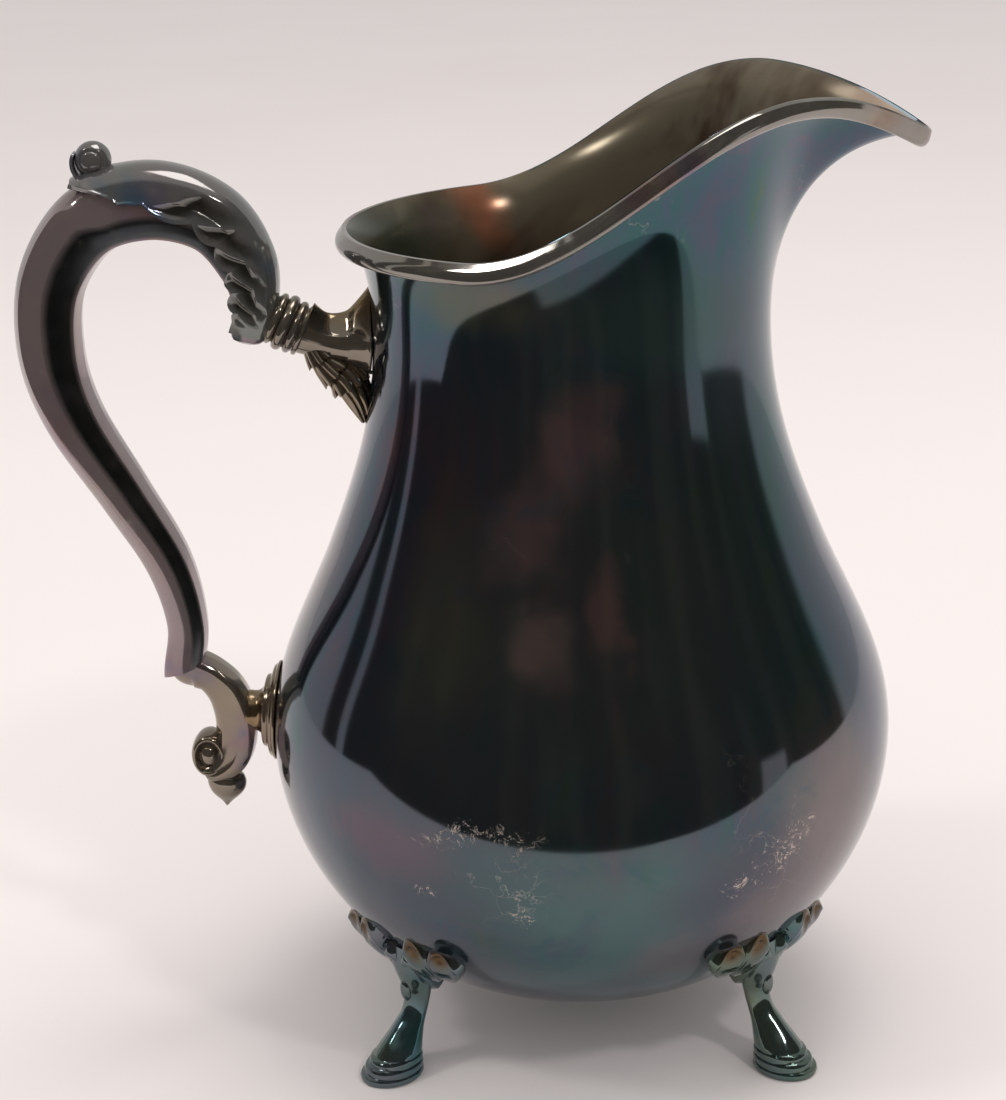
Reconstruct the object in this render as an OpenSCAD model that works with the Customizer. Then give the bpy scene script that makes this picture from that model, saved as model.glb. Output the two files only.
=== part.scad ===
// Footed silver-plated water pitcher: a pear-shaped spun body with a raised
// pouring lip, a hollow scroll handle with an applied leaf, and four cast feet.
// Frame: +X towards the spout, -X towards the handle, +Z up, table at z = 0.
// The body's own axis is parallel to Z and passes through x = axis_x, y = 0.

/* [Body] */
// Largest outer radius of the belly
belly_r = 74.8; // [70:0.2:78]
// Height of the belly's widest ring above the table
belly_z = 73; // [70:0.5:76]
// Outer radius of the neck at its narrowest
neck_r = 46.3; // [44:0.1:48]
// Height of the narrowest ring of the neck
neck_z = 173; // [170:0.5:176]
// Radius of the flat underside
floor_r = 22; // [16:1:28]
// Height of the flat underside above the table
floor_z = 12; // [10:0.5:14]
// Thickness of the spun wall
wall = 1.2; // [1:0.1:1.6]

/* [Lip] */
// Radius of the lip on the handle side and on the flanks
lip_r = 52; // [50:0.5:54]
// Height of the lip on the handle side
lip_z = 195.6; // [194:0.2:198]
// Rise of the lip from the handle side to the crest of the spout
lip_rise = 30.4; // [26:0.2:32]
// Drop of the beak below the crest of the spout
beak_drop = 12; // [8:0.5:14]
// Extra reach of the spout at the tip of its beak
beak_reach = 23; // [20:0.5:25]
// Width of the half-round moulding, measured along the lip
moulding_w = 5.2; // [4.5:0.1:6]
// Height of the half-round moulding, measured out from the lip
moulding_h = 3.1; // [2.6:0.1:3.4]

/* [Handle] */
// Wall thickness of the hollow handle's two halves
handle_wall = 1.3; // [1:0.1:1.6]
// Thickness of the applied leaf
leaf_t = 1.1; // [0.8:0.1:1.4]
// Radius of the thumb ball
ball_r = 4.2; // [4:0.1:4.6]

/* [Feet] */
// Angle of each foot from the handle-spout plane
foot_angle = 43; // [40:1:50]
// Distance of each pad's middle from the body axis
pad_reach = 63.5; // [61:0.5:66]

/* [Hidden] */

// The handle reaches further than the spout, so the body's axis is off centre.
axis_x = 23.8;
// Gap left between a fitting and the wall that it is soldered to
solder = 0.04;
// Facets around the body, along and around the swept pieces
around = 60;
sweep_n = 34;

// ---- curves -----------------------------------------------------------------

function mix(a, b, t) = a + (b - a) * t;
function clamp01(t) = min(1, max(0, t));
function ease(t) = 0.5 - 0.5 * cos(180 * clamp01(t));
function unit(v) = v / norm(v);

// A point of the cubic curve with control points a, b, c and d
function bezier(a, b, c, d, t) =
    a * pow(1 - t, 3) + b * 3 * t * pow(1 - t, 2) + c * 3 * t * t * (1 - t) + d * pow(t, 3);

// A smooth curve through rows of stations, u running from 0 to len(rows) - 1
function through(rows, u) =
    let (last = len(rows) - 1,
         i = min(last - 1, floor(u)),
         t = u - i,
         p1 = rows[i],
         p2 = rows[i + 1],
         p0 = i == 0 ? 2 * p1 - p2 : rows[i - 1],
         p3 = i == last - 1 ? 2 * p2 - p1 : rows[i + 2])
    0.5 * (2 * p1 + (p2 - p0) * t + (2 * p0 - 5 * p1 + 4 * p2 - p3) * t * t
           + (3 * p1 - p0 - 3 * p2 + p3) * t * t * t);

// ---- the spun wall ------------------------------------------------------------

// Where the shoulder's S turns from convex to concave: radius and height
shoulder = [58.6, 121];
shoulder_slope = [-0.40, 1];

// How far around from the tip of the spout, in degrees from 0 to 180
function from_spout(a) = abs((a + 540) % 360 - 180);

// Plan radius of the lip: round, with a broad swell that draws into a beak
function lip_plan(a) =
    let (d = from_spout(a), q = sqrt(d * d + 36) - 6)
    lip_r + 7 * exp(-pow(d / 80, 3)) + beak_reach * exp(-q / 9.5);

// Height of the lip above the table
function lip_height(a) =
    let (x = lip_plan(a) * cos(a))
    lip_z + lip_rise * ease((x + 23.1) / 72.5) - beak_drop * pow(max(0, x - 47.3) / 34.7, 2);

// The lip's own stretch of the meridian at angle a, from the neck up to its edge
function lip_curve(a, t) =
    let (r = lip_plan(a), z = lip_height(a),
         spout = exp(-pow(from_spout(a) / 38, 2)),
         reach = r - neck_r, climb = z - neck_z)
    bezier([neck_r, neck_z],
           [neck_r, neck_z + climb * 0.5],
           [r - reach * mix(0.8, 0.72, spout), z - mix(5.6, 0, spout)],
           [r, z], t);

// A meridian of the wall at angle a, as [radius, height]: s is 0 at the edge of
// the underside, 1 at the belly, 2 at the shoulder, 3 at the neck, 4 at the lip
function meridian(a, s) =
    s <= 1 ? bezier([floor_r, floor_z], [floor_r + 27, floor_z], [belly_r, belly_z - 31],
                    [belly_r, belly_z], s)
    : s <= 2 ? bezier([belly_r, belly_z], [belly_r, belly_z + 18], shoulder - 17 * shoulder_slope,
                      shoulder, s - 1)
    : s <= 3 ? bezier(shoulder, shoulder + 17 * shoulder_slope, [neck_r, neck_z - 20],
                      [neck_r, neck_z], s - 2)
    : lip_curve(a, s - 3);

// Outward unit normal of the wall in the plane of its meridian
function wall_normal(a, s) =
    let (h = 0.01, d = meridian(a, min(4, s + h)) - meridian(a, max(0, s - h)), t = unit(d))
    [t[1], -t[0]];

// The point off mm outside the wall's outer face, in the part's frame
function on_wall(a, s, off) =
    let (p = meridian(a, s) + off * wall_normal(a, s))
    [axis_x + p[0] * cos(a), p[0] * sin(a), p[1]];

// Radius of the wall below the neck at height z
wall_table = [for (s = [0 : 0.05 : 3]) let (p = meridian(180, s)) [p[1], p[0]]];
function wall_r(z) = lookup(z, wall_table);

// The point of the wall's handle side at y and z, off mm outside it along X
function on_handle_side(y, z, off) = [axis_x - sqrt(pow(wall_r(z), 2) - y * y) - off, y, z];

// ---- closed solids from rings of points ----------------------------------------

function average(points) = [for (k = [0, 1, 2]) let (c = [for (p = points) p[k]])
                            c * [for (v = c) 1] / len(c)];

// Solid through closed rings of equal length, its two ends closed by fans
module ring_solid(rings) {
    n = len(rings[0]);
    m = len(rings);
    points = [for (ring = rings) for (p = ring) p, average(rings[0]), average(rings[m - 1])];
    sides = [for (i = [0 : m - 2]) for (j = [0 : n - 1])
             let (a = i * n + j, b = i * n + (j + 1) % n)
             each [[a, b, b + n], [a, b + n, a + n]]];
    ends = [for (j = [0 : n - 1])
            each [[m * n, (j + 1) % n, j],
                  [m * n + 1, (m - 1) * n + j, (m - 1) * n + (j + 1) % n]]];
    polyhedron(points, concat(sides, ends));
}

// Closed band: rings of points joined end to end as well as around
module band_solid(rings) {
    n = len(rings[0]);
    m = len(rings);
    polyhedron([for (ring = rings) for (p = ring) p],
               [for (i = [0 : m - 1]) for (j = [0 : n - 1])
                let (a = i * n + j, b = i * n + (j + 1) % n,
                     c = ((i + 1) % m) * n + (j + 1) % n, d = ((i + 1) % m) * n + j)
                each [[a, b, c], [a, c, d]]]);
}

// Curved plate between an outer and an inner grid of points of equal size
module plate_solid(outer, inner) {
    m = len(outer);
    n = len(outer[0]);
    k = m * n;
    faces = [for (i = [0 : m - 2]) for (j = [0 : n - 2])
             let (a = i * n + j, b = a + 1, c = a + n + 1, d = a + n)
             each [[a, b, c], [a, c, d], [k + a, k + c, k + b], [k + a, k + d, k + c]]];
    long_edges = [for (i = [0 : m - 2]) for (side = [0, 1])
                  let (a = i * n + side * (n - 1), d = a + n)
                  each side == 0 ? [[a, d, k + d], [a, k + d, k + a]]
                                 : [[d, a, k + a], [d, k + a, k + d]]];
    short_edges = [for (j = [0 : n - 2]) for (side = [0, 1])
                   let (a = side * (m - 1) * n + j, b = a + 1)
                   each side == 0 ? [[b, a, k + a], [b, k + a, k + b]]
                                  : [[a, b, k + b], [a, k + b, k + a]]];
    polyhedron([for (row = outer) each row, for (row = inner) each row],
               concat(faces, long_edges, short_edges));
}

// ---- body ------------------------------------------------------------------------

// Stops along a meridian, closer together where the lip turns out
wall_stops = [for (s = [0 : 0.125 : 1]) s, for (s = [1.143 : 0.1427 : 2.9]) s,
              3, for (s = [3.125 : 0.125 : 4.01]) min(4, s)];

module body_shell() {
    color([0.28, 0.33, 0.36])
    ring_solid([for (s = wall_stops) wall_ring(s, 0),
                for (i = [len(wall_stops) - 1 : -1 : 0]) wall_ring(wall_stops[i], -wall)]);
}

function wall_ring(s, off) = [for (j = [0 : around - 1]) on_wall(-360 * j / around, s, off)];

// Section of the moulding at angle a: a half round against the outer face of the
// lip, with a hook over the wall's cut edge that ends flush with its inner face
function moulding_section(a) =
    let (edge = meridian(a, 4), n = wall_normal(a, 3.99), t = [-n[1], n[0]],
         hook = [[0.06, -wall], [0.7, -0.5 * wall]],
         round = [for (q = [20 : 20 : 180])
                  [0.5 - (moulding_w + 0.5) * (1 - cos(q)) / 2, moulding_h * sin(q)]],
         flat = [[0.06, solder]])
    [for (c = concat(hook, round, flat))
     let (p = edge + t * c[0] + n * max(c[1], c[0] < 0 ? solder : -wall))
     [axis_x + p[0] * cos(a), p[0] * sin(a), p[1]]];

module rim_moulding() {
    color([0.5, 0.5, 0.5])
    band_solid([for (j = [0 : 95]) moulding_section(3.75 * j)]);
}

// ---- handle ------------------------------------------------------------------------

// Middle line of the arm from its spur at the collar to its mitred lower end:
// x from the body axis, z, depth in profile, half of the breadth, slant of the cut
arm = [[-76.2, 171.4, 3.5, 2.2, 0],
       [-73.6, 178, 9.8, 5.2, 0],
       [-75.2, 188.2, 12.8, 6.4, 0],
       [-82.4, 198.5, 15, 7, 0],
       [-96, 202.9, 17, 7.5, 0],
       [-110.5, 198.9, 16.9, 7.6, 0],
       [-120.4, 185.3, 16, 7.1, 0],
       [-122.3, 168, 15.6, 6.8, 0],
       [-118.2, 151.8, 14.3, 6.5, 0],
       [-107.5, 132.4, 12.6, 5.9, 0],
       [-98.5, 115.5, 11.4, 5.4, 0],
       [-94.9, 100, 10, 5.1, 0.1],
       [-96.3, 88.2, 9.8, 5, 0.6]];

// Half of the arm's panelled section, from its outer to its inner middle line:
// [depth outwards, breadth] as parts of the depth and of the half breadth
panels = [[0.5, 0], [0.47, 0.42], [0.25, 0.95], [0, 1.02], [-0.3, 0.92], [-0.48, 0.4], [-0.5, 0]];

// The point of a swept piece at u along its stations, out and across from its middle
function off_path(path, u, out, across) =
    let (h = 0.01,
         c = through(path, u),
         d = through(path, min(len(path) - 1, u + h)) - through(path, max(0, u - h)),
         t = unit([d[0], d[1]]),
         n = [t[1], -t[0]],
         p = [c[0], c[1]] + n * out + t * out * c[4])
    [axis_x + p[0], across, p[1]];

// A row across half of the arm, grow mm outside its faces, on side -1 or +1
function arm_row(u, grow, side) =
    let (c = through(arm, u), depth = c[2] + 2 * grow, breadth = c[3] + grow)
    [for (p = panels) off_path(arm, u, p[0] * depth, side * p[1] * breadth)];

module handle_half(side) {
    stops = [for (i = [0 : sweep_n]) i * (len(arm) - 1) / sweep_n];
    outer = [for (u = stops) arm_row(u, 0, side)];
    inner = [for (u = stops) arm_row(u, -min(handle_wall, 0.3 * through(arm, u)[3]), side)];
    color([0.32, 0.29, 0.3])
    if (side < 0) plate_solid(outer, inner);
    else plate_solid([for (i = [sweep_n : -1 : 0]) outer[i]], [for (i = [sweep_n : -1 : 0]) inner[i]]);
}

module handle_half_front() handle_half(-1);
module handle_half_back() handle_half(1);

// Lower edge of the leaf along the arm, as a share of the half section: three
// lobes that deepen towards the collar
leaf_from = 1.25;
leaf_to = 4.8;
// Gap between the arm's face and the back of the leaf
leaf_gap = 0.15;
function leaf_edge(v) = mix(4, 2, v) + 0.4 * abs(sin(540 * v)) * (1 - v);

// A row across the leaf, over the crown of the arm from one flank to the other
function leaf_row(v, grow) =
    let (u = mix(leaf_from, leaf_to, v), edge = leaf_edge(v), c = through(arm, u),
         depth = c[2] + 2 * grow, breadth = c[3] + grow)
    [for (i = [-6 : 6])
     let (p = through(panels, abs(i) / 6 * edge))
     off_path(arm, u, p[0] * depth, sign(i) * p[1] * breadth)];

module handle_leaf() {
    stops = [for (i = [0 : 22]) i / 22];
    color([0.42, 0.43, 0.36])
    plate_solid([for (v = stops) leaf_row(v, leaf_gap + leaf_t)],
                [for (v = stops) leaf_row(v, leaf_gap)]);
}

module thumb_ball() {
    color([0.4, 0.42, 0.4])
    translate([axis_x - 108.6, 0, 213.1]) sphere(r = ball_r, $fn = 48);
}

// ---- upper joint ---------------------------------------------------------------------

// The collar's axis starts on the arm and slopes down to the body
collar_at = [axis_x - 68.3, 0, 176.6];
collar_tilt = 25.5;
collar_length = 7.4;

module handle_collar() {
    color([0.45, 0.42, 0.42])
    translate(collar_at) rotate([0, 90 + collar_tilt, 0])
    rotate_extrude($fn = 64) union() {
        square([5.2, collar_length]);
        for (i = [0 : 2]) translate([5.3, 1.2 + 2.4 * i]) circle(r = 1.15, $fn = 24);
    }
}

// Sections of the socket from the collar to the wall: x from the body axis,
// middle z, half height, half breadth
socket = [[-61.6, 173.3, 6.1, 6.1],
          [-58.4, 171.8, 5.4, 5.4],
          [-55, 170.4, 5.6, 5.4],
          [-51.2, 169.6, 7.6, 6.2]];
// The socket's foot on the wall: middle z, half height, half breadth
socket_foot = [169, 12.6, 8.6];

module upper_socket() {
    lean = tan(collar_tilt);
    rings = [for (i = [0 : 9]) let (c = through(socket, i / 3), slope = lean * (1 - i / 9))
             [for (j = [0 : 23]) let (z = c[2] * sin(15 * j))
              [axis_x + c[0] + slope * z, c[3] * cos(15 * j), c[1] + z]]];
    foot = [for (off = [1.6, solder])
            [for (j = [0 : 23])
             on_handle_side(socket_foot[2] * cos(15 * j), socket_foot[0] + socket_foot[1] * sin(15 * j), off)]];
    color([0.3, 0.27, 0.25])
    ring_solid(concat(rings, foot));
}

// Number of flutes across the fan that hangs below the socket
fan_flutes = 7;
// The fan's mid line from the collar down to the wall: x from the body axis, z, half breadth
fan = [[-61.8, 165.8, 3], [-58.6, 162.4, 5.2], [-55.4, 158.8, 7], [-52.6, 154.6, 7.8], [-50.6, 151, 5]];

module socket_leaf() {
    rows = [for (i = [0 : 12]) let (c = through(fan, i / 3))
            [for (j = [-9 : 9])
             let (f = j / 9, flute = 0.55 * abs(cos(90 * fan_flutes * f)) * ease(i / 4),
                  y = c[2] * f, lift = 2.6 * (1 - f * f))
             [axis_x + c[0] + 2.2 * f * f - 0.5 * flute, y, c[1] + 2.6 * f * f - flute]]];
    back = [for (i = [0 : 12]) let (c = through(fan, i / 3))
            [for (j = [-9 : 9]) let (f = j / 9)
             [axis_x + c[0] + 2.2 * f * f + 1, c[2] * f * 0.96, c[1] + 2.6 * f * f + 1.5]]];
    color([0.5, 0.42, 0.33])
    plate_solid(rows, back);
}

// ---- lower joint -----------------------------------------------------------------------

// Middle line of the lower scroll, with the same columns as the arm; it starts
// as a tenon inside the hollow arm
scroll = [[-95.6, 93, 5.4, 2.6, 0],
          [-95, 89.2, 6, 3, 0.2],
          [-92.8, 87, 9, 4.4, 0],
          [-88.2, 84, 10.2, 4.9, 0],
          [-85.2, 78.6, 10.6, 5, 0],
          [-84.8, 71.4, 9.8, 4.8, 0],
          [-86.2, 65, 8.4, 4.4, 0],
          [-89.6, 61.4, 5, 3.6, 0]];

module lower_scroll() {
    color([0.36, 0.4, 0.36])
    ring_solid([for (i = [0 : 28]) let (u = i / 4, c = through(scroll, u))
                [for (j = [0 : 15])
                 off_path(scroll, u, -c[2] / 2 * cos(22.5 * j), c[3] * sin(22.5 * j))]]);
}

volute_at = [axis_x - 92.2, 0, 64.6];

module scroll_volute() {
    color([0.42, 0.4, 0.38])
    translate(volute_at) rotate([90, 0, 0])
    rotate_extrude($fn = 48) polygon([[0, -5.2], [1.6, -4.9], [2.6, -4.2], [3.6, -3.6], [3.9, -2.8],
                                      [3.9, 2.8], [3.6, 3.6], [2.6, 4.2], [1.6, 4.9], [0, 5.2]]);
}

module scroll_drop() {
    color([0.34, 0.34, 0.33])
    translate([axis_x - 88.2, 0, 51.8])
    rotate_extrude($fn = 48) polygon(concat([[0, 0]],
        [for (t = [0 : 0.1 : 1]) bezier([0.25, 0.1], [1.4, 3.4], [4.5, 3.2], [4.3, 7.6], t)],
        [[3.2, 8.6], [0, 8.8]]));
}

// Rings of the lower mount: distance from its middle and height off the wall
mount_steps = [[12, 0.04], [12, 1.1], [11.2, 1.7], [9.3, 1.8], [9.2, 2.9], [8.4, 3.5], [6.4, 3.6],
               [5.3, 4.6], [5, 6.2]];
mount_z = 76;

module lower_escutcheon() {
    color([0.5, 0.38, 0.32])
    ring_solid([for (m = [len(mount_steps) - 1 : -1 : 0]) let (step = mount_steps[m])
                [for (j = [0 : 31])
                 on_handle_side(step[0] * cos(11.25 * j), mount_z + step[0] * sin(11.25 * j), step[1])]]);
}

// ---- feet --------------------------------------------------------------------------------

// Sections of a leg from the table up: distance from the body axis, height,
// half length away from the axis, half breadth
leg = [[0, 0, 7, 6.2],
       [0, 1.4, 7.7, 6.9],
       [-0.6, 3.2, 7.1, 6.5],
       [-1.6, 5.6, 6.2, 5.9],
       [-3.6, 8.6, 4.9, 4.8],
       [-6.6, 12.4, 3.5, 4],
       [-8.6, 16.6, 2.9, 3.9],
       [-8.4, 20.6, 3, 4.6],
       [-6.2, 24.6, 2.8, 5.8],
       [-3.4, 28.4, 2.4, 6.4]];

module foot(a) {
    color([0.34, 0.37, 0.37]) {
        translate([axis_x, 0, 0]) rotate([0, 0, a])
        ring_solid([for (i = [0 : 18]) let (c = through(leg, i / 2))
                    [for (j = [0 : 15])
                     [pad_reach + c[0] + c[2] * cos(-22.5 * j), c[3] * sin(-22.5 * j), max(0, c[1])]]]);
        foot_leaf(a);
    }
}

// The leaf of a foot: a lobed plate that lies along the wall either side of the leg
leaf_half_angle = 18;
function leaf_top(f) = 0.57 + 0.02 * cos(200 * f) - 0.01 * f * f;
function leaf_bottom(f) = 0.4 + 0.09 * f * f;

module foot_leaf(a) {
    stops = [for (i = [-9 : 9]) i / 9];
    rows = function(lift) [for (f = stops)
        [for (k = [0 : 5])
         let (v = k / 5, s = mix(leaf_bottom(f), leaf_top(f), v))
         on_wall(a + leaf_half_angle * f, s, lift * (1.2 + 1.9 * sin(180 * v) * (1 - 0.4 * f * f)) + solder)]];
    plate_solid(rows(1), rows(0));
}

module foot_front_spout() foot(-foot_angle);
module foot_front_handle() foot(-180 + foot_angle);
module foot_back_spout() foot(foot_angle);
module foot_back_handle() foot(180 - foot_angle);

body_shell();
rim_moulding();
handle_half_front();
handle_half_back();
handle_leaf();
thumb_ball();
handle_collar();
upper_socket();
socket_leaf();
lower_scroll();
scroll_volute();
scroll_drop();
lower_escutcheon();
foot_front_spout();
foot_front_handle();
foot_back_spout();
foot_back_handle();
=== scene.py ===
# %% [markdown]
# # A footed silver pitcher, gone dark with age
# The pitcher is a spun pear-shaped body with a lip drawn out to a beak, a hollow cast handle and
# four cast feet. Its engineering model is the fixed frame: every piece made here goes where that
# model says, and only the looks are added.

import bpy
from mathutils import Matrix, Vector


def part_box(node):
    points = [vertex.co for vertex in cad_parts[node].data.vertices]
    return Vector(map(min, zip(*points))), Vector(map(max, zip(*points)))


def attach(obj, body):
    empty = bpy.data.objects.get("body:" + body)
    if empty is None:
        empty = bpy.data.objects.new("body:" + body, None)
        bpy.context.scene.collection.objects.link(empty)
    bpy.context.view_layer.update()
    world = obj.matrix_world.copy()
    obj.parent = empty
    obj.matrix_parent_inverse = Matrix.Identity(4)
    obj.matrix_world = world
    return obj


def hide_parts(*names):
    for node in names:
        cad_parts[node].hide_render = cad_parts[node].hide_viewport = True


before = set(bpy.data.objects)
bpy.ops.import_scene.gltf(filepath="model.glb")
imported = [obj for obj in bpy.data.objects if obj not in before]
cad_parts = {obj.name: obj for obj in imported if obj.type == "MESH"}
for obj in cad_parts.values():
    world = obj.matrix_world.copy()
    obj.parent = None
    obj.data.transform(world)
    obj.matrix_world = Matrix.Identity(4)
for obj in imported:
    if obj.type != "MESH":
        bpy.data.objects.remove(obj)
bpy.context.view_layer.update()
print("frame:", len(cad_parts), "nodes")

# %% [markdown]
# ## Measures
# The formulas below speak in millimetres, as a silversmith does, and in the body's own axis. The
# axis and the belly are read from the frame, so the looks can't drift away from the parts.

# %% Driving measures
from math import cos, degrees, exp, floor, hypot, pi, radians, sin, sqrt, tan

import bpy
import numpy as np
from mathutils import Matrix, Vector

MM = 0.001
TURN = 2 * pi
body_low, body_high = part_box("body_shell")
belly_r = body_high.y / MM
axis_x = body_low.x / MM + belly_r
floor_z = body_low.z / MM
wall = 1.2
print(f"axis at x = {axis_x:.1f} mm, belly radius {belly_r:.1f} mm, underside at {floor_z:.1f} mm")

# %% [markdown]
# ## Curves
# Three curve helpers keep each outline down to a few numbers: a cubic curve with two handles, a
# smooth curve through a row of stations, and a soft step.


# %% Curve helpers
def mix(a, b, t):
    return a + (b - a) * t


def soft_step(t):
    return 0.5 - 0.5 * cos(pi * min(1, max(0, t)))


def bezier(points, t):
    """The place at t, from 0 to 1, on the cubic curve with these four control points."""
    a, b, c, d = (np.array(p, float) for p in points)
    return a * (1 - t) ** 3 + b * 3 * t * (1 - t) ** 2 + c * 3 * t * t * (1 - t) + d * t ** 3


def through(rows, u):
    """The place at u, from 0 to len(rows) - 1, on a smooth curve through the rows."""
    rows = np.asarray(rows, float)
    last = len(rows) - 1
    i = int(min(last - 1, max(0, floor(u))))
    t = u - i
    b, c = rows[i], rows[i + 1]
    a = 2 * b - c if i == 0 else rows[i - 1]
    d = 2 * c - b if i == last - 1 else rows[i + 2]
    return 0.5 * (2 * b + (c - a) * t + (2 * a - 5 * b + 4 * c - d) * t * t
                  + (3 * b - a - 3 * c + d) * t ** 3)


def stops(first, last, count):
    return [float(v) for v in np.linspace(first, last, count)]


def angles(count):
    """Equal turns once round a circle, from 0."""
    return [TURN * j / count for j in range(count)]


print("half way up a soft step:", soft_step(0.5))

# %% [markdown]
# ## The bench
# These helpers are the hand's moves: start a primitive, draw a ring out into a tube, push points
# to their places, close an end, weld, thicken and smooth. Each leaves Blender in object mode with
# the piece at the origin, as the frame wants it.


# %% Starting a piece and pushing its points
def clear_bench():
    if bpy.context.mode != "OBJECT":
        bpy.ops.object.mode_set(mode="OBJECT")
    bpy.ops.object.select_all(action="DESELECT")


def take_up(piece):
    """Makes a piece the only one in hand."""
    clear_bench()
    piece.select_set(True)
    bpy.context.view_layer.objects.active = piece


def started(name):
    """The piece that a primitive has just made, given its name."""
    piece = bpy.context.object
    piece.name = piece.data.name = name
    return piece


def push_points(piece, rows):
    """Moves the points of a piece to the rows of places given, in millimetres from the axis."""
    places = np.array([place for row in rows for place in row], float)
    places[:, 0] += axis_x
    assert len(places) == len(piece.data.vertices), (piece.name, len(places), len(piece.data.vertices))
    piece.data.vertices.foreach_set("co", (places * MM).ravel())
    piece.data.update()


print("bench clear")


# %% Tubes and plates
def draw_out(times):
    """Draws the points in edit mode upwards this many times and goes back to object mode."""
    bpy.ops.mesh.select_all(action="SELECT")
    for _ in range(times):
        bpy.ops.mesh.extrude_region_move(TRANSFORM_OT_translate={"value": (0, 0, MM)})
    bpy.ops.object.mode_set(mode="OBJECT")


def tube(name, rings):
    """A circle of points drawn out into an open tube through the rings of places given."""
    clear_bench()
    bpy.ops.mesh.primitive_circle_add(vertices=len(rings[0]), radius=10 * MM)
    piece = started(name)
    bpy.ops.object.mode_set(mode="EDIT")
    draw_out(len(rings) - 1)
    push_points(piece, rings)
    return piece


def sheet_metal(name, rows):
    """A flat grid of points pushed into a plate through the rows of places given."""
    clear_bench()
    bpy.ops.mesh.primitive_grid_add(x_subdivisions=len(rows[0]) - 1, y_subdivisions=len(rows) - 1,
                                    size=10 * MM)
    piece = started(name)
    push_points(piece, rows)
    return piece


print("tubes and plates ready")


# %% Closing and welding
def on_all_points(piece, operator, **settings):
    """Runs one mesh operator on every point of a piece."""
    take_up(piece)
    bpy.ops.object.mode_set(mode="EDIT")
    bpy.ops.mesh.select_all(action="SELECT")
    operator(**settings)
    bpy.ops.object.mode_set(mode="OBJECT")


def pick(piece, wanted):
    """Goes into edit mode with only the points picked whose numbers are wanted."""
    take_up(piece)
    bpy.ops.object.mode_set(mode="EDIT")
    bpy.ops.mesh.select_mode(type="VERT")
    bpy.ops.mesh.select_all(action="DESELECT")
    bpy.ops.object.mode_set(mode="OBJECT")
    for i in wanted:
        piece.data.vertices[i].select = True
    bpy.ops.object.mode_set(mode="EDIT")


def close_end(piece, first, count):
    """Closes the ring of `count` points that starts at number `first` with a fan to its middle."""
    pick(piece, range(first, first + count))
    bpy.ops.mesh.extrude_region_move()
    bpy.ops.mesh.merge(type="CENTER")
    bpy.ops.object.mode_set(mode="OBJECT")


def weld(piece, gap=0.002):
    """Merges points that meet and turns every face outwards."""
    on_all_points(piece, bpy.ops.mesh.remove_doubles, threshold=gap * MM)
    on_all_points(piece, bpy.ops.mesh.normals_make_consistent, inside=False)


def mark_points(piece, name, rows):
    """Stores a value at every point of a piece, for its finish to read."""
    mark = piece.data.attributes.new(name, "FLOAT", "POINT")
    mark.data.foreach_set("value", [value for row in rows for value in row])


def closed_tube(name, rings, hollows=None):
    """A tube with both ends closed; `hollows` says how deep in the relief each of its points lies."""
    piece = tube(name, rings)
    if hollows:
        mark_points(piece, "hollow", hollows)
    around = len(rings[0])
    close_end(piece, 0, around)
    close_end(piece, around * (len(rings) - 1), around)
    weld(piece)
    return piece


print("welding ready")


# %% Finishing moves
def face_towards(piece, direction):
    """Turns an open sheet over if it faces away from a direction."""
    faced = sum((face.normal * face.area for face in piece.data.polygons), Vector())
    if faced.dot(Vector(direction)) < 0:
        on_all_points(piece, bpy.ops.mesh.flip_normals)


def modify(piece, kind, **settings):
    """Puts one modifier on a piece and applies it."""
    take_up(piece)
    modifier = piece.modifiers.new(kind.title(), kind)
    for name, value in settings.items():
        setattr(modifier, name, value)
    bpy.ops.object.modifier_apply(modifier=modifier.name)


def smooth(piece, angle=40):
    """Shades a piece smooth but for edges sharper than the angle, and says what was made."""
    take_up(piece)
    bpy.ops.object.shade_smooth_by_angle(angle=radians(angle))
    print(piece.name, "has", len(piece.data.polygons), "faces")


def spun(name, outline, steps):
    """A piece turned about the Z axis from its outline of (radius, height) in millimetres."""
    clear_bench()
    bpy.ops.mesh.primitive_plane_add(size=MM)
    piece = started(name)
    pick(piece, (1, 2, 3))
    bpy.ops.mesh.delete(type="VERT")
    draw_out(len(outline) - 1)
    for vertex, (r, z) in zip(piece.data.vertices, outline):
        vertex.co = (r * MM, 0, z * MM)
    on_all_points(piece, bpy.ops.mesh.spin, steps=steps, angle=TURN, center=(0, 0, 0), axis=(0, 0, 1))
    weld(piece)
    return piece


def put(piece, x, y, z, turn=(0, 0, 0)):
    """Sets a piece down, x from the body's axis, with its place baked into its points."""
    spot = Matrix.Translation(Vector((axis_x + x, y, z)) * MM)
    for axis, angle in zip("XYZ", turn):
        spot = spot @ Matrix.Rotation(radians(angle), 4, axis)
    piece.data.transform(spot)
    piece.data.update()


def copy_of(piece, name):
    twin = piece.copy()
    twin.data = piece.data.copy()
    twin.name = twin.data.name = name
    bpy.context.collection.objects.link(twin)
    return twin


print("bench ready")

# %% [markdown]
# ## Shader sums
# A finish is worked out in sums of masks and noises. The class below wraps a node's socket, so the
# sums are plain Python and each adds its own Math node. Any other node comes from one method: its
# type, its settings, then what goes into its sockets.


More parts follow.
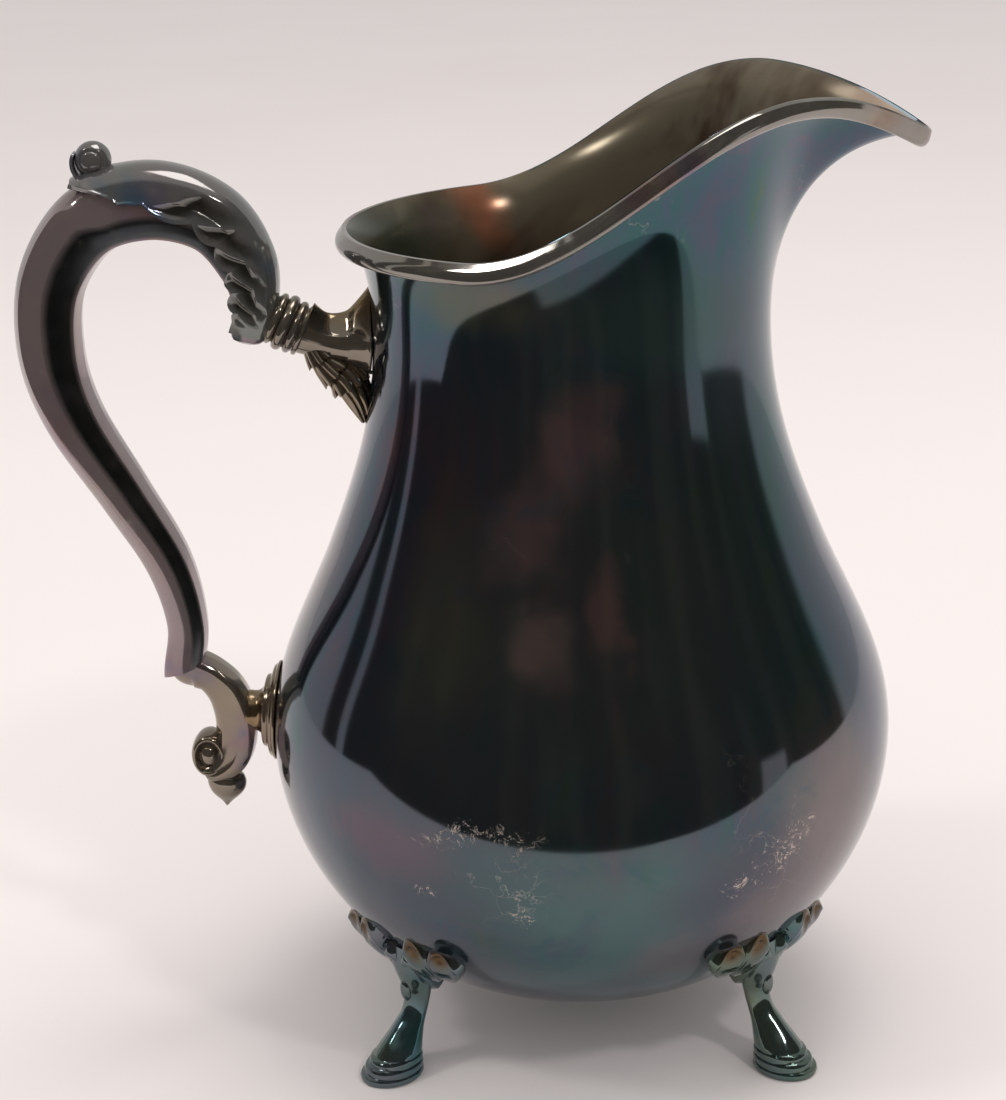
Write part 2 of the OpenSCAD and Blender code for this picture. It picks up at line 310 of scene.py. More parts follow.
# %% The wire class
class Wire:
    """A value on its way through a material's nodes."""

    def __init__(self, tree, socket):
        self.tree, self.socket = tree, socket

    @staticmethod
    def node(tree, kind, settings=None, sockets=None):
        """Adds a node with its settings, then fills its sockets with wires or plain values."""
        node = tree.nodes.new(kind)
        for name, value in (settings or {}).items():
            if name == "stops":
                ramp = node.color_ramp.elements
                while len(ramp) < len(value):
                    ramp.new(1)
                for stop, (place, colour) in zip(ramp, value):
                    stop.position = place
                    stop.color = (*colour, 1)
            else:
                setattr(node, name, value)
        for name, value in (sockets or {}).items():
            if isinstance(value, Wire):
                tree.links.new(value.socket, node.inputs[name])
            else:
                node.inputs[name].default_value = value
        return node

    def after(self, output, kind, settings=None, sockets=None):
        """One output of a new node in the same tree."""
        return Wire(self.tree, Wire.node(self.tree, kind, settings, sockets).outputs[output])

    def math(self, operation, *others):
        sockets = dict(enumerate((self, *others)))
        return self.after(0, "ShaderNodeMath", {"operation": operation}, sockets)

    def number(self, value):
        """A plain number on a wire of its own, for sums that start with it."""
        return self.after(0, "ShaderNodeMath", {"operation": "MULTIPLY"}, {0: value, 1: 1.0})

    def __add__(self, other):
        return self.math("ADD", other)

    def __mul__(self, other):
        return self.math("MULTIPLY", other)

    def __sub__(self, other):
        return self.math("SUBTRACT", other)

    def __rsub__(self, other):
        return self.number(other).math("SUBTRACT", self)

    def __truediv__(self, other):
        return self.math("DIVIDE", other)

    def __pow__(self, other):
        return self.math("POWER", other)

    __radd__ = __add__
    __rmul__ = __mul__

    def step(self, low, high):
        """0 below low, 1 above high, and smooth between; low may be the larger."""
        return self.after("Result", "ShaderNodeMapRange", {"interpolation_type": "SMOOTHSTEP"},
                          {"Value": self, "From Min": low, "From Max": high})


print("sums ready")


# %% Colours, noises and vectors
def colour_mix(share, under, over):
    """The colour `over` laid on the colour `under`, as far as the share says."""
    return share.after(2, "ShaderNodeMix", {"data_type": "RGBA"},
                       {0: share, 6: under if isinstance(under, Wire) else (*under, 1),
                        7: over if isinstance(over, Wire) else (*over, 1)})


def noise(point, scale, detail=3, roughness=0.5, distortion=0):
    return point.after("Fac", "ShaderNodeTexNoise", None,
                       {"Vector": point, "Scale": scale, "Detail": detail, "Roughness": roughness,
                        "Distortion": distortion})


def vector_math(point, operation, other):
    return point.after("Vector", "ShaderNodeVectorMath", {"operation": operation}, {0: point, 1: other})


def parts_of(point):
    node = Wire.node(point.tree, "ShaderNodeSeparateXYZ", None, {0: point})
    return [Wire(point.tree, node.outputs[k]) for k in range(3)]


print("noises ready")

# %% [markdown]
# ## Tarnish
# Old silver plate darkens under a film of sulphide. As the film grows it turns from straw to brown,
# purple, blue, teal and grey-green, all under a hard shine. So one ramp holds the colours in that
# order, and a slow noise moves a surface along it. Patches with a colour of their own are ovals on
# the wall with ragged edges.


# %% Film helpers
FILM = [(0.00, (0.36, 0.32, 0.26)), (0.16, (0.26, 0.20, 0.16)), (0.30, (0.22, 0.145, 0.17)),
        (0.44, (0.14, 0.13, 0.20)), (0.58, (0.085, 0.15, 0.21)), (0.72, (0.06, 0.17, 0.18)),
        (0.86, (0.08, 0.17, 0.12)), (1.00, (0.19, 0.185, 0.11))]


def new_finish(name):
    """A bare material: its tree, its Principled shader and its point in the object's own space."""
    material = bpy.data.materials.new(name)
    material.use_nodes = True
    tree = material.node_tree
    shader = tree.nodes["Principled BSDF"]
    point = Wire(tree, Wire.node(tree, "ShaderNodeTexCoord").outputs["Object"])
    return material, shader, point


def film_colour(thickness):
    return thickness.after("Color", "ShaderNodeValToRGB", {"stops": FILM}, {0: thickness})


def stored(point, name):
    """A value that is stored at the piece's own points."""
    return point.after("Fac", "ShaderNodeAttribute", {"attribute_name": name})


def wandering(point, scale, reach):
    """The point moved about by a noise, so that what is drawn there gets a ragged edge."""
    drift = point.after("Color", "ShaderNodeTexNoise", None,
                        {"Vector": point, "Scale": scale, "Detail": 4, "Roughness": 0.6})
    drift = vector_math(vector_math(drift, "SUBTRACT", (0.5, 0.5, 0.5)), "MULTIPLY", (reach * MM,) * 3)
    return vector_math(point, "ADD", drift)


def oval(point, centre, width, height, soft=0.5):
    """1 inside an oval on the wall and 0 outside it; centre, width and height in millimetres."""
    scale = (1 / (width * MM), 1 / (width * MM), 1 / (height * MM))
    spot = Vector((axis_x + centre[0], centre[1], centre[2])) * MM
    moved = point.after(0, "ShaderNodeMapping", None,
                        {"Vector": point, "Scale": scale, "Location": [-a * b for a, b in zip(spot, scale)]})
    length = moved.after("Value", "ShaderNodeVectorMath", {"operation": "LENGTH"}, {0: moved})
    return length.step(1 + soft, 1 - soft)


def plug_in(shader, **wires):
    """Links wires to the shader; plain values are set on its own sockets."""
    for name, value in wires.items():
        socket = shader.inputs[name.replace("_", " ").title()]
        if isinstance(value, Wire):
            value.tree.links.new(value.socket, socket)
        else:
            socket.default_value = value


def bumped(height, strength, distance):
    return height.after("Normal", "ShaderNodeBump", None,
                        {"Height": height, "Strength": strength, "Distance": distance * MM})


print("film stops:", len(FILM))

# %% [markdown]
# ## The tarnished wall
# The wall could be one painted colour under a varnish, but metal shows its film by tinting what it
# mirrors, so the film's colour goes on a nearly pure metal and the studio does the rest. The big
# patches are listed: slate and teal below, mauve towards the spout, plum stains up the front, and
# pale flakes where the film is worn away.

# %% The wall's finish
# Each patch: centre (mm from the axis), width and height of the oval, colour, how strongly it shows
# and how much of the shine it takes away
STAINS = [((-52, -50, 62), 34, 40, (0.13, 0.16, 0.20), 0.8, 0),
          ((-45, -60, 66), 13, 9, (0.25, 0.15, 0.19), 0.7, 0),
          ((-20, -70, 50), 34, 24, (0.10, 0.155, 0.19), 0.8, 0),
          ((8, -72, 48), 34, 20, (0.115, 0.245, 0.27), 0.9, 0),
          ((-31, -64, 46), 20, 14, (0.12, 0.14, 0.19), 0.7, 0),
          ((36, -64, 52), 16, 18, (0.115, 0.12, 0.18), 0.85, 0),
          ((60, -44, 62), 22, 30, (0.34, 0.27, 0.28), 0.85, 0),
          ((46, -58, 44), 14, 10, (0.30, 0.25, 0.27), 0.7, 0),
          ((20, -62, 38), 12, 7, (0.26, 0.22, 0.25), 0.6, 0),
          ((66, -20, 100), 18, 44, (0.13, 0.155, 0.22), 0.8, 0),
          ((-68, -10, 100), 16, 60, (0.20, 0.20, 0.20), 0.6, 0),
          ((6, -58, 118), 44, 66, (0.165, 0.16, 0.13), 0.55, 0.02),
          ((2, -48, 155), 8, 12, (0.30, 0.17, 0.18), 0.8, 0.07),
          ((-11, -51, 138), 8, 10, (0.28, 0.17, 0.18), 0.8, 0.06),
          ((7, -60, 116), 4, 16, (0.28, 0.16, 0.15), 0.8, 0.06),
          ((-9, -61, 114), 7, 9, (0.32, 0.22, 0.20), 0.8, 0.08),
          ((-30, -52, 112), 12, 44, (0.14, 0.15, 0.10), 0.7, 0.05),
          ((38, -30, 172), 18, 20, (0.12, 0.17, 0.21), 0.7, 0.05),
          ((14, -46, 182), 24, 12, (0.08, 0.16, 0.14), 0.8, 0.06),
          ((-20, -44, 188), 16, 8, (0.20, 0.19, 0.12), 0.6, 0.05)]
# Each worn flake: centre, width and height
FLAKES = [((-32, -68, 73), 13, 3.2), ((-15, -73, 72), 9, 4), ((-12, -72, 62), 4.5, 9),
          ((43, -60, 61), 8, 5), ((34, -64, 57), 6, 4.5), ((50, -56, 66), 6, 4),
          ((-38, -63, 59), 5, 3)]
FILM_DARKNESS = 0.34


def wall_finish():
    material, shader, point = new_finish("tarnished_wall")
    ragged = wandering(point, 34, 26)
    height = parts_of(point)[2] / (100 * MM)
    streaks = noise(vector_math(point, "MULTIPLY", (1.0, 1.0, 0.4)), 48, 7, 0.68, 1.4)
    film = noise(point, 9, 5, 0.55, 0.8) * 1.2 + streaks * 0.9 - 0.50 + height * 0.04
    colour, dull = film_colour(film), height.number(0.0)
    for centre, width, tall, stain, strength, dullness in STAINS:
        place = oval(ragged, centre, width, tall, 0.6)
        colour = colour_mix(place * strength, colour, stain)
        dull = dull + place * dullness if dullness else dull
    clouds = noise(point, 30, 6, 0.7, 0.8)
    colour = colour_mix(clouds.step(0.52, 0.66) * 0.6, colour, film_colour(streaks * 1.6 - 0.2))
    mottle = noise(point, 60, 6, 0.65).step(0.3, 0.75)
    colour = colour_mix(mottle * 0.2, colour, (0.15, 0.15, 0.15))
    colour = colour_mix(height.number(FILM_DARKNESS), colour, (0.0, 0.0, 0.0))

    worn = oval(ragged, *FLAKES[0], 0.7)
    for flake in FLAKES[1:]:
        worn = worn.math("MAXIMUM", oval(ragged, *flake, 0.7))
    crackle = noise(point, 260, 10, 0.8, 2.5)
    worn = worn * (crackle + worn * 0.10).step(0.62, 0.68)
    colour = colour_mix(worn * 0.75, colour, (0.62, 0.52, 0.44))

    hairs = point.after("Distance", "ShaderNodeTexVoronoi", {"feature": "DISTANCE_TO_EDGE"},
                        {"Vector": wandering(point, 70, 30), "Scale": 60})
    scratch = hairs.step(0.012, 0.0) * noise(point, 26, 2).step(0.56, 0.7)
    colour = colour_mix(scratch * 0.3, colour, (0.5, 0.47, 0.42))

    # inside the mouth the film is brown and olive, and dull, as water has stood there
    inside = stored(point, "inside")
    damp = noise(point, 16, 4, 0.6, 1.0).step(0.40, 0.60)
    lining = colour_mix(damp, (0.072, 0.045, 0.028), (0.155, 0.13, 0.09))
    lining = colour_mix(oval(ragged, (-24, 46, 190), 6, 6, 0.9) * 0.6, lining, (0.42, 0.13, 0.06))
    lining = colour_mix(oval(ragged, (-46, 10, 186), 24, 16) * 0.8, lining, (0.04, 0.06, 0.04))
    lining = colour_mix(noise(point, 30, 5, 0.6).step(0.56, 0.7) * 0.5, lining, (0.13, 0.085, 0.11))
    colour = colour_mix(inside, colour, lining)

    haze = noise(point, 18, 4, 0.6)
    plug_in(shader, base_color=colour, metallic=0.94 - dull - worn * 0.3 - inside * 0.34,
            roughness=worn * 0.38 + haze * 0.06 + mottle * 0.03 + 0.035 + dull * 0.3 + inside * 0.14,
            normal=bumped(noise(point, 30, 2, 0.4) + worn * 0.12, 0.12, 0.35))
    return material


wall_metal = wall_finish()
print("wall finish:", len(wall_metal.node_tree.nodes), "nodes")

# %% [markdown]
# ## Finish for the castings and the rim
# The castings share a lighter, warmer film than the wall: their relief is rubbed by cloths and
# hands. Pointiness isn't there in every renderer, so each piece stores its own values where it is
# modelled, and the finish lays a deeper colour there: a gold-brown tint on the castings, darker in
# the cups of the leaves, and a painted dark reflection band on the handle's side panel.


# %% The cast finish
def cast_finish(name, shift, tint, strength, rough, metallic, deep=(0.26, 0.18, 0.10)):
    """A cast piece's finish: where it stands on the film ramp, and the tint laid over it."""
    material, shader, point = new_finish(name)
    film = noise(point, 26, 5, 0.6, 1.0) * 1.3 - 0.65 + shift
    colour = colour_mix(noise(point, 45, 3).step(0.3, 0.5) * strength, film_colour(film), tint)
    # the stored mark lays the deeper colour: a tint on most pieces, a painted dark reflection on the handle's
    # side panel
    hollow = stored(point, "hollow") * (noise(point, 160, 4) * 0.6 + 0.7)
    colour = colour_mix(hollow.math("MINIMUM", 1.0), colour, deep)
    rub = noise(point, 120, 3, 0.6).step(0.56, 0.74)
    plug_in(shader, base_color=colour_mix(rub * 0.15, colour, (0.45, 0.42, 0.38)),
            metallic=hollow * (0.98 - metallic) + metallic, roughness=hollow * 0.1 + rub * 0.12 + rough,
            normal=bumped(noise(point, 150, 1), 0.08, 0.15))
    return material


rim_metal = cast_finish("rim_silver", 0.20, (0.27, 0.26, 0.235), 0.9, 0.07, 0.88)
# the handle's deeper colour is the near-black of its painted dark reflection band
handle_metal = cast_finish("handle_plum", 0.30, (0.27, 0.22, 0.22), 0.85, 0.10, 0.68, (0.07, 0.075, 0.08))
leaf_metal = cast_finish("leaf_grey", 0.60, (0.235, 0.215, 0.19), 0.75, 0.10, 0.74, (0.10, 0.095, 0.08))
casting_metal = cast_finish("casting_brown", 0.30, (0.25, 0.215, 0.165), 0.9, 0.09, 0.86)
foot_metal = cast_finish("foot_brown", 0.68, (0.20, 0.175, 0.145), 0.45, 0.09, 0.90, (0.10, 0.065, 0.035))
print("finishes:", [m.name for m in bpy.data.materials if m.users == 0])

# %% [markdown]
# ## The wall
# The wall was spun over a chuck and its lip then worked outwards and up by hand, so no ring above
# the neck is round, and spinning an outline would only give the lower part. Drawing a circle
# upwards ring by ring, and setting every ring on a formula for the meridian at its own angle, gives
# the pear and the beak as one smooth skin, as the metal is.

# %% The wall's formulas
neck_r, neck_z = 46.3, 173.0
foot_ring_r = 22.0
belly_z = 73.0
shoulder = np.array([58.6, 121.0])
shoulder_lean = np.array([-0.40, 1.0])
# how far each curve's handles reach from the foot ring, the belly, the shoulder and the neck
foot_pull, under_pull, over_pull, shoulder_pull, neck_pull = 27, 31, 18, 17, 20
lip_r, lip_z, lip_rise = 52.0, 195.6, 30.4
rise_start, rise_run = -23.1, 72.5
beak_drop, beak_reach, beak_narrow = 12.0, 23.0, 9.5
drop_start, drop_run = 47.3, 34.7


def from_spout(a):
    """How far round from the tip of the spout, in degrees."""
    return abs((degrees(a) + 540) % 360 - 180)


def lip_plan(a):
    d = from_spout(a)
    return lip_r + 7 * exp(-(d / 80) ** 3) + beak_reach * exp(-(sqrt(d * d + 36) - 6) / beak_narrow)


def lip_height(a):
    x = lip_plan(a) * cos(a)
    rise = lip_rise * soft_step((x - rise_start) / rise_run)
    return lip_z + rise - beak_drop * (max(0, x - drop_start) / drop_run) ** 2


def meridian(a, s):
    """Radius and height of the wall at angle a: s is 1 at the belly, 3 at the neck, 4 at the lip."""
    if s <= 1:
        return bezier([(foot_ring_r, floor_z), (foot_ring_r + foot_pull, floor_z),
                       (belly_r, belly_z - under_pull), (belly_r, belly_z)], s)
    if s <= 2:
        return bezier([(belly_r, belly_z), (belly_r, belly_z + over_pull),
                       shoulder - shoulder_pull * shoulder_lean, shoulder], s - 1)
    if s <= 3:
        return bezier([shoulder, shoulder + shoulder_pull * shoulder_lean,
                       (neck_r, neck_z - neck_pull), (neck_r, neck_z)], s - 2)
    r, z = lip_plan(a), lip_height(a)
    spout = exp(-(from_spout(a) / 38) ** 2)
    return bezier([(neck_r, neck_z), (neck_r, neck_z + (z - neck_z) * 0.5),
                   (r - (r - neck_r) * mix(0.8, 0.72, spout), z - mix(5.6, 0, spout)), (r, z)], s - 3)


def outward(a, s, h=0.01):
    """The wall's outward direction in the plane of its meridian."""
    run = meridian(a, min(4, s + h)) - meridian(a, max(0, s - h))
    return np.array([run[1], -run[0]]) / np.hypot(*run)


def on_wall(a, s, off=0.0):
    """The place `off` mm outside the wall's face, from the body's axis."""
    r, z = meridian(a, s) + off * outward(a, s)
    return (r * cos(a), r * sin(a), z)


print("crest of the lip:", round(max(lip_height(a) for a in angles(360)), 1), "mm")

# %% The wall
WALL_AROUND = 240
wall_stops = stops(0, 1, 30)[:-1] + stops(1, 3, 60)[:-1] + stops(3, 4, 46)
body = tube("body_wall", [[on_wall(a, s) for a in angles(WALL_AROUND)] for s in wall_stops])
close_end(body, 0, WALL_AROUND)
face_towards(body, (0, 0, -1))
modify(body, "SOLIDIFY", thickness=wall * MM, offset=-1)
wall_points = [(v.co.x / MM - axis_x, v.co.y / MM, v.normal) for v in body.data.vertices]
mark_points(body, "inside", [[float(x * n.x + y * n.y < 0) for x, y, n in wall_points]])
smooth(body, 50)

# %% [markdown]
# ## The lip's moulding
# A drawn half-round wire is soldered along the outside of the lip, with a thin step under it. A
# torus already closes both ways, so its points are pushed on to the wire's section at each angle.

# %% The moulding
MOULDING_AROUND = 256
moulding_w, moulding_h = 5.2, 3.1


def moulding_section():
    """Along the lip and out from it: a hook over the edge, the half round, and the step under it."""
    hook = [(0.06, -wall), (0.45, -wall * 0.8), (0.78, -wall * 0.3)]
    half_round = [(0.6 - (moulding_w - 0.9) * (1 - cos(q)) / 2, moulding_h * sin(q) + 0.15)
                  for q in np.linspace(radians(12), radians(168), 22)]
    step = [(-4.15, 0.85), (-4.25, 0.95), (-4.5, 1.05), (-4.8, 1.0), (-5.05, 0.8), (-5.2, 0.4),
            (-5.2, 0.04)]
    return hook + half_round + step + [(-3.5, 0.04), (-2.3, 0.04), (-1.1, 0.04), (0.06, 0.04)]


def on_lip(a, along, out):
    edge, out_way = meridian(a, 4), outward(a, 3.99)
    r, z = edge + along * np.array([-out_way[1], out_way[0]]) + out * out_way
    return (r * cos(a), r * sin(a), z)


section = moulding_section()
clear_bench()
bpy.ops.mesh.primitive_torus_add(major_segments=MOULDING_AROUND, minor_segments=len(section),
                                 major_radius=lip_r * MM, minor_radius=moulding_h * MM)
moulding = started("lip_moulding")
push_points(moulding, [[on_lip(a, *p) for p in section] for a in angles(MOULDING_AROUND)])
weld(moulding)
smooth(moulding, 35)

# %% [markdown]
# ## The handle's arm
# The arm is two cast half shells soldered along the middle. Its section has a narrow outer facet,
# a broad side panel and an inner facet, and the outer facet widens as it runs down. A sweep can't
# change its section, so each half is a sheet of points set on the formula of the section at every
# station, then given its wall thickness. The back half is the front one mirrored.

# %% The arm's path and section
# x from the body's axis, z, depth in profile, half breadth, slant of the cut
arm = [[-75.4, 171.0, 8.4, 3.4, 0], [-73.8, 178, 9.4, 5.2, 0], [-75.2, 188.2, 12.6, 6.3, 0],
       [-82.4, 198.5, 14.9, 6.9, 0], [-96, 202.9, 16.9, 7.4, 0], [-110.5, 198.9, 16.9, 7.6, 0],
       [-120.4, 185.3, 16, 7.1, 0], [-122.3, 168, 15.6, 6.8, 0], [-118.2, 151.8, 14.3, 6.5, 0],
       [-107.5, 132.4, 12.6, 5.9, 0], [-98.5, 115.5, 11.4, 5.4, 0], [-94.9, 100, 10, 5.1, 0.1],
       [-96.3, 88.2, 9.8, 5, 0.6]]
LEAF_END = 4.9


def off_path(path, u, out, across, h=0.01):
    """The place `out` from a path's middle, away from the hand, and `across` its breadth."""
    here = through(path, u)
    run = through(path, min(len(path) - 1, u + h)) - through(path, max(0, u - h))
    way = run[:2] / np.hypot(*run[:2])
    x, z = here[:2] + np.array([way[1], -way[0]]) * out + way * out * here[4]
    return (x, across, z)


def panelled_section(ridge, roundness, count=12):
    """Half a section as (out, across) shares, with its ridge `ridge` of the depth from the middle."""
    inner_edge, inner_breadth = 0.45, 0.86
    half = []
    for s in stops(0, 1, count):
        facet = (0.5 - (0.5 - ridge) * s ** 1.5, s * 0.985)
        turn = s * pi / 2
        swell = (ridge + (0.5 - ridge) * max(0, cos(turn)) ** 0.75, sin(turn) ** 0.85)
        half.append(tuple(mix(a, b, roundness) for a, b in zip(facet, swell)))
    for s in stops(0.04, 1, count):
        half.append((mix(ridge, -inner_edge, s), 1 + 0.07 * sin(pi * s) - (1 - inner_breadth) * s * s))
    for s in stops(0.06, 1, count - 3):
        half.append((-inner_edge - 0.05 * s ** 0.7, inner_breadth * (1 - s)))
    return half


def arm_section(u):
    under_leaf = 1 - soft_step((u - LEAF_END + 0.2) / 0.5)
    ridge = mix(np.interp(u, [5, 7, 9, 12], [0.40, 0.34, 0.20, 0.02]), 0.12, under_leaf)
    return panelled_section(ridge, under_leaf)


print("arm:", len(arm), "stations,", len(arm_section(6)), "points in half a section")


# %% The arm's two halves
def mirrored(piece, name):
    """The same piece for the other side of the handle's plane, its faces turned back out."""
    twin = copy_of(piece, name)
    twin.data.transform(Matrix.Scale(-1, 4, (0, 1, 0)))
    twin.data.flip_normals()
    return twin


arm_stops = stops(0, len(arm) - 1, 180)
# the heel is domed over by rings that shrink as they pass the arm's end
heel_rings = [[(x, y, z - drop) for out, across in arm_section(0)
               for x, y, z in [off_path(arm, 0, out * share * 8.4 - 0.3 * drop, -across * share * 3.4)]]
              for share, drop in [(0.02, 2.1), (0.5, 1.9), (0.8, 1.3), (0.94, 0.6)]]
arm_rings = [[off_path(arm, u, out * through(arm, u)[2], -across * through(arm, u)[3])
              for out, across in arm_section(u)] for u in arm_stops]
arm_front = sheet_metal("arm_front_half", heel_rings + arm_rings)
# a painted dark reflection band along the inner third of the side panel
painted_dark_reflection = [soft_step((s - 0.40) / 0.16) * (1 - soft_step((s - 0.9) / 0.1)) for s in stops(0.04, 1, 12)]
mark_points(arm_front, "hollow", [[0.0] * 12 + painted_dark_reflection + [0.0] * 9] * len(heel_rings + arm_rings))
face_towards(arm_front, (0, -1, 0))
modify(arm_front, "SOLIDIFY", thickness=1.3 * MM, offset=-1)
smooth(arm_front, 24)
arm_back = mirrored(arm_front, "arm_back_half")

# %% [markdown]
# ## The leaf on the arm
# A cast acanthus leaf lies over the crown of the arm from the thumb ball to the collar. Its tip is
# plain, then every lobe is cupped under a sharp rib that slants from a notch in the edge up towards
# the collar. Written as a height over the arm's own face, the relief stays on the arm exactly.

# %% The leaf
leaf_notches = [4.02, 3.25, 2.62, 2.05, 1.5, 0.9, 0.0]
leaf_lift, leaf_slant = 1.15, 1.9


def near_heel(u):
    """0 at the heel, where the leaf is plain, and 1 from its second lobe on."""
    return soft_step((u - 0.35) / 0.75)


def leaf_edge(u):
    """Where the leaf's edge lies on the side of the arm, as a share of the depth from its middle."""
    tip = np.interp(u, [3.9, 4.15, 4.4, 4.65, 4.9], [0.06, 0.05, 0.10, 0.30, 0.47])
    lobes = [abs(sin(pi * (u - b) / (a - b))) for a, b in zip(leaf_notches, leaf_notches[1:]) if b <= u < a]
    base = np.interp(u, leaf_notches[::-1], [-0.44, -0.36, -0.28, -0.2, -0.13, -0.05, 0.03])
    return tip if not lobes else base - 0.12 * lobes[0] ** 0.8 * near_heel(u)


def leaf_hollow(u, edgewise):
    """Depth of the leaf's relief, 0 to 1, at a share `edgewise` of the way from crown to edge."""
    slid = u + leaf_slant * (1 - edgewise) ** 1.3
    for a, b in zip(leaf_notches, leaf_notches[1:]):
        if b <= slid < a:
            along = (a - slid) / (a - b)
            cup = sin(pi * along ** 0.62) ** 1.3
            inner = soft_step((edgewise - 0.30) / 0.35)
            return cup * inner * (1 - soft_step((edgewise - 0.86) / 0.12)) * near_heel(u)
    return 0.0


def leaf_point(u, edgewise, side):
    outs, acrosses = zip(*arm_section(u))
    end = np.interp(-leaf_edge(u), [-o for o in outs], range(len(outs)))
    k = end * edgewise
    out, across = np.interp(k, range(len(outs)), outs), np.interp(k, range(len(outs)), acrosses)
    bead = 0.35 * exp(-((1 - edgewise) / 0.05) ** 2) * near_heel(u)
    lift = leaf_lift + bead - 0.85 * leaf_hollow(u, edgewise) + 0.9 * soft_step((u - 4.3) / 0.6)
    depth, breadth = through(arm, u)[2:4]
    swell = sqrt(out * out * 4 + across * across)
    return off_path(arm, u, out * (depth + lift * 2 / swell), side * across * (breadth + lift / swell))


HALF_LEAF = 46
leaf_stops = stops(0.06, LEAF_END - 0.02, 230)
edgewise_steps = [(abs(i) / HALF_LEAF, -1 if i < 0 else 1) for i in range(-HALF_LEAF, HALF_LEAF + 1)]
leaf = sheet_metal("arm_leaf", [[leaf_point(u, *e) for e in edgewise_steps] for u in leaf_stops])
mark_points(leaf, "hollow", [[0.9 * leaf_hollow(u, e) for e, side in edgewise_steps] for u in leaf_stops])
face_towards(leaf, (0.3, 0, 1))
modify(leaf, "SOLIDIFY", thickness=1.0 * MM, offset=-1)
smooth(leaf, 40)

# %% [markdown]
# ## The thumb ball
# The leaf's tip curls round a ball that the thumb presses on. The ball is spun about an axis
# across the handle, with a ring cut on each side that leaves a small round eye. The curl under it
# is a strip bent to an opening spiral.

# %% The thumb ball and its curl
ball_x, ball_z, ball_r = -108.6, 213.1, 4.25
cut_depth, cut_angle = 0.42, 38
curl_start, curl_end = 158, 300


def ball_outline():
    """Radius and height of a ball with a ring cut round each pole."""
    outline = []
    for angle in np.linspace(0, pi, 73):
        from_pole = min(angle, pi - angle)
        cut = cut_depth * exp(-((degrees(from_pole) - cut_angle) / 4.5) ** 2)
        outline.append(((ball_r - cut) * sin(angle), -(ball_r - cut) * cos(angle)))
    outline[0] = (0, outline[0][1])
    outline[-1] = (0, outline[-1][1])
    return outline


ball = spun("thumb_ball_cut", ball_outline(), 72)
put(ball, ball_x, 0, ball_z, (90, 0, 0))
smooth(ball, 60)

def curl_row(s):
    """A row of the curl, wider and further out as s goes from 0 to 1."""
    r, turn = mix(4.5, 5.5, s), radians(mix(curl_start, curl_end, s))
    return [(ball_x + r * cos(turn), y * (0.35 + 0.65 * s ** 0.5), ball_z + r * sin(turn))
            for y in stops(-4.6, 4.6, 15)]


curl = sheet_metal("thumb_curl", [curl_row(s) for s in stops(0, 1, 40)])
face_towards(curl, (0, 0, -1))
modify(curl, "SOLIDIFY", thickness=0.75 * MM, offset=0)
modify(curl, "BEVEL", width=0.2 * MM, segments=2, limit_method="ANGLE")
smooth(curl, 40)

# %% [markdown]
# ## The upper joint
# Between arm and body sits a turned collar of three beads, then a socket: a waisted barrel with a
# hollowed roof, ending in a pointed foot on the neck. The collar is spun. The socket is a tube whose
# rings change from round to hipped as they near the wall.

# %% The beaded collar
collar_x, collar_z, collar_tilt = -69.6, 175.2, 27.0


def collar_outline():
    """Beads of slightly different girth with narrow grooves between them."""
    outline, bulge = [(0, -0.6), (5.0, -0.5), (5.2, -0.2)], 1.15
    for middle, girth, half in [(0.9, 6.35, 0.95), (3.3, 6.85, 1.25), (5.8, 6.5, 1.05)]:
        outline += [(girth - bulge + bulge * cos(t), middle + half * sin(t))
                    for t in np.linspace(radians(-82), radians(82), 13)]
    return outline + [(5.6, 7.1), (6.15, 7.3), (6.2, 7.9), (5.9, 8.3), (5.2, 8.4), (0, 8.4)]


collar = spun("beaded_collar", collar_outline(), 96)
put(collar, collar_x, 0, collar_z, (0, 90 + collar_tilt, 0))
smooth(collar, 50)

# %% The socket
# x from the axis, middle z, half height, half breadth, how far the roof is hipped
barrel = [[-62.6, 172.6, 5.7, 5.7, 0.2], [-60.6, 171.6, 5.6, 5.6, 0.5], [-58.0, 170.6, 5.4, 5.4, 0.9],
          [-55.0, 169.8, 5.9, 5.5, 1], [-52.2, 169.6, 6.7, 5.8, 1], [-50.2, 170.2, 7.9, 6.3, 1]]
BARREL_AROUND = 64
foot_z, foot_up, foot_down, foot_half = 170.4, 11.6, 9.2, 7.2
eaves = 0.28
wall_table = np.array([meridian(pi, s) for s in np.linspace(0, 3, 301)])


def on_handle_side(y, z, off):
    """The place at y and z on the wall's handle side, `off` mm outside it."""
    r = np.interp(z, wall_table[:, 1], wall_table[:, 0])
    return (-sqrt(r * r - y * y) - off, y, z)


def hipped(angle, hip):
    """A circle's (across, up) with its upper part drawn in to a hipped, hollowed roof."""
    across, up = cos(angle), sin(angle)
    if up > eaves:
        k = (up - eaves) / (1 - eaves)
        across *= mix(1, 0.80 + 0.2 * (1 - k) ** 2, hip)
        up -= hip * 0.16 * sin(pi * min(1, k)) ** 0.7
    return across, up


def socket_ring(u):
    x, z, tall, half, hip = through(barrel, u)
    slope = tan(radians(collar_tilt)) * max(0, 1 - u / 3.2)
    return [(x + slope * tall * up, half * across, z + tall * up)
            for across, up in (hipped(a, hip) for a in angles(BARREL_AROUND))]


def foot_ring(grow, off):
    """The socket's foot on the wall: drawn to a point above, round below."""
    ring = []
    for a in angles(BARREL_AROUND):
        across, up = cos(a), sin(a)
        point = foot_up * up ** 2.2 if up > 0 else foot_down * up
        ring.append(on_handle_side(foot_half * grow * across * (1 - 0.35 * max(0, up)),
                                   foot_z + point * grow, off * (1 - 0.55 * max(0, up))))
    return ring


